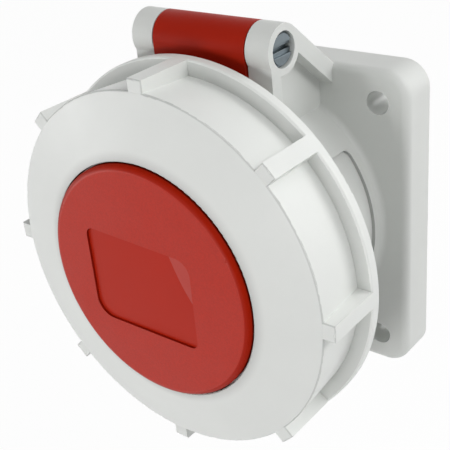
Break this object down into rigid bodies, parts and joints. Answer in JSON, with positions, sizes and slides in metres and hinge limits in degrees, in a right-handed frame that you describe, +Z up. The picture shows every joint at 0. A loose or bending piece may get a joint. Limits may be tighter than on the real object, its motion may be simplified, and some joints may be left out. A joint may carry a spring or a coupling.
{
  "type": "industrial panel socket",
  "caption": "Square-flanged industrial power socket for panels, with a round hinged lid held shut by a ribbed bayonet locking ring.",
  "frame": {"origin": "centre of the flange's back face, on the socket's axis, where it meets the panel", "axes": "+X to the right seen from the front, +Y into the panel, +Z up towards the hinge; the lid faces -Y"},
  "size_m": [0.09, 0.0783, 0.0962],
  "materials": {
    "housing_grey": "light grey moulded polyamide, fine satin grain",
    "ring_grey": "light grey moulded polyamide, smooth satin",
    "lid_red": "signal red moulded polyamide, fine grain",
    "carrier_dark": "dark grey moulded plastic",
    "rubber_black": "soft black sealing rubber",
    "contact_brass": "turned brass",
    "screw_steel": "zinc-plated steel",
    "pin_grey": "dull blue-grey passivated pin"
  },
  "bodies": {
    "base": {"housing": "housing_grey", "flange_gasket": "rubber_black", "contact_carrier": "carrier_dark", "carrier_seal": "rubber_black", "carrier_screws": "screw_steel", "terminal_cover": "carrier_dark", "cover_screw": "screw_steel", "sleeve_l1": "contact_brass", "sleeve_l2": "contact_brass", "sleeve_l3": "contact_brass", "sleeve_n": "contact_brass", "sleeve_earth": "contact_brass", "contact_springs": "screw_steel", "terminal_screws": "screw_steel", "hinge_pin": "pin_grey"},
    "lid": {"lid": "lid_red", "lid_gasket": "rubber_black", "lid_disc": "lid_red", "disc_screws": "screw_steel"},
    "ring": {"locking_ring": "ring_grey"}
  },
  "joints": [
    {"name": "lid_swing", "type": "hinge", "parent": "base", "child": "lid", "pos_m": [0, -0.0273, 0.04575], "axis": [-1, 0, 0], "range_deg": [0, 130]},
    {"name": "ring_turn", "type": "hinge", "parent": "lid", "child": "ring", "pos_m": [0, -0.0535, 0], "axis": [0, 1, 0], "range_deg": [0, 45]}
  ]
}
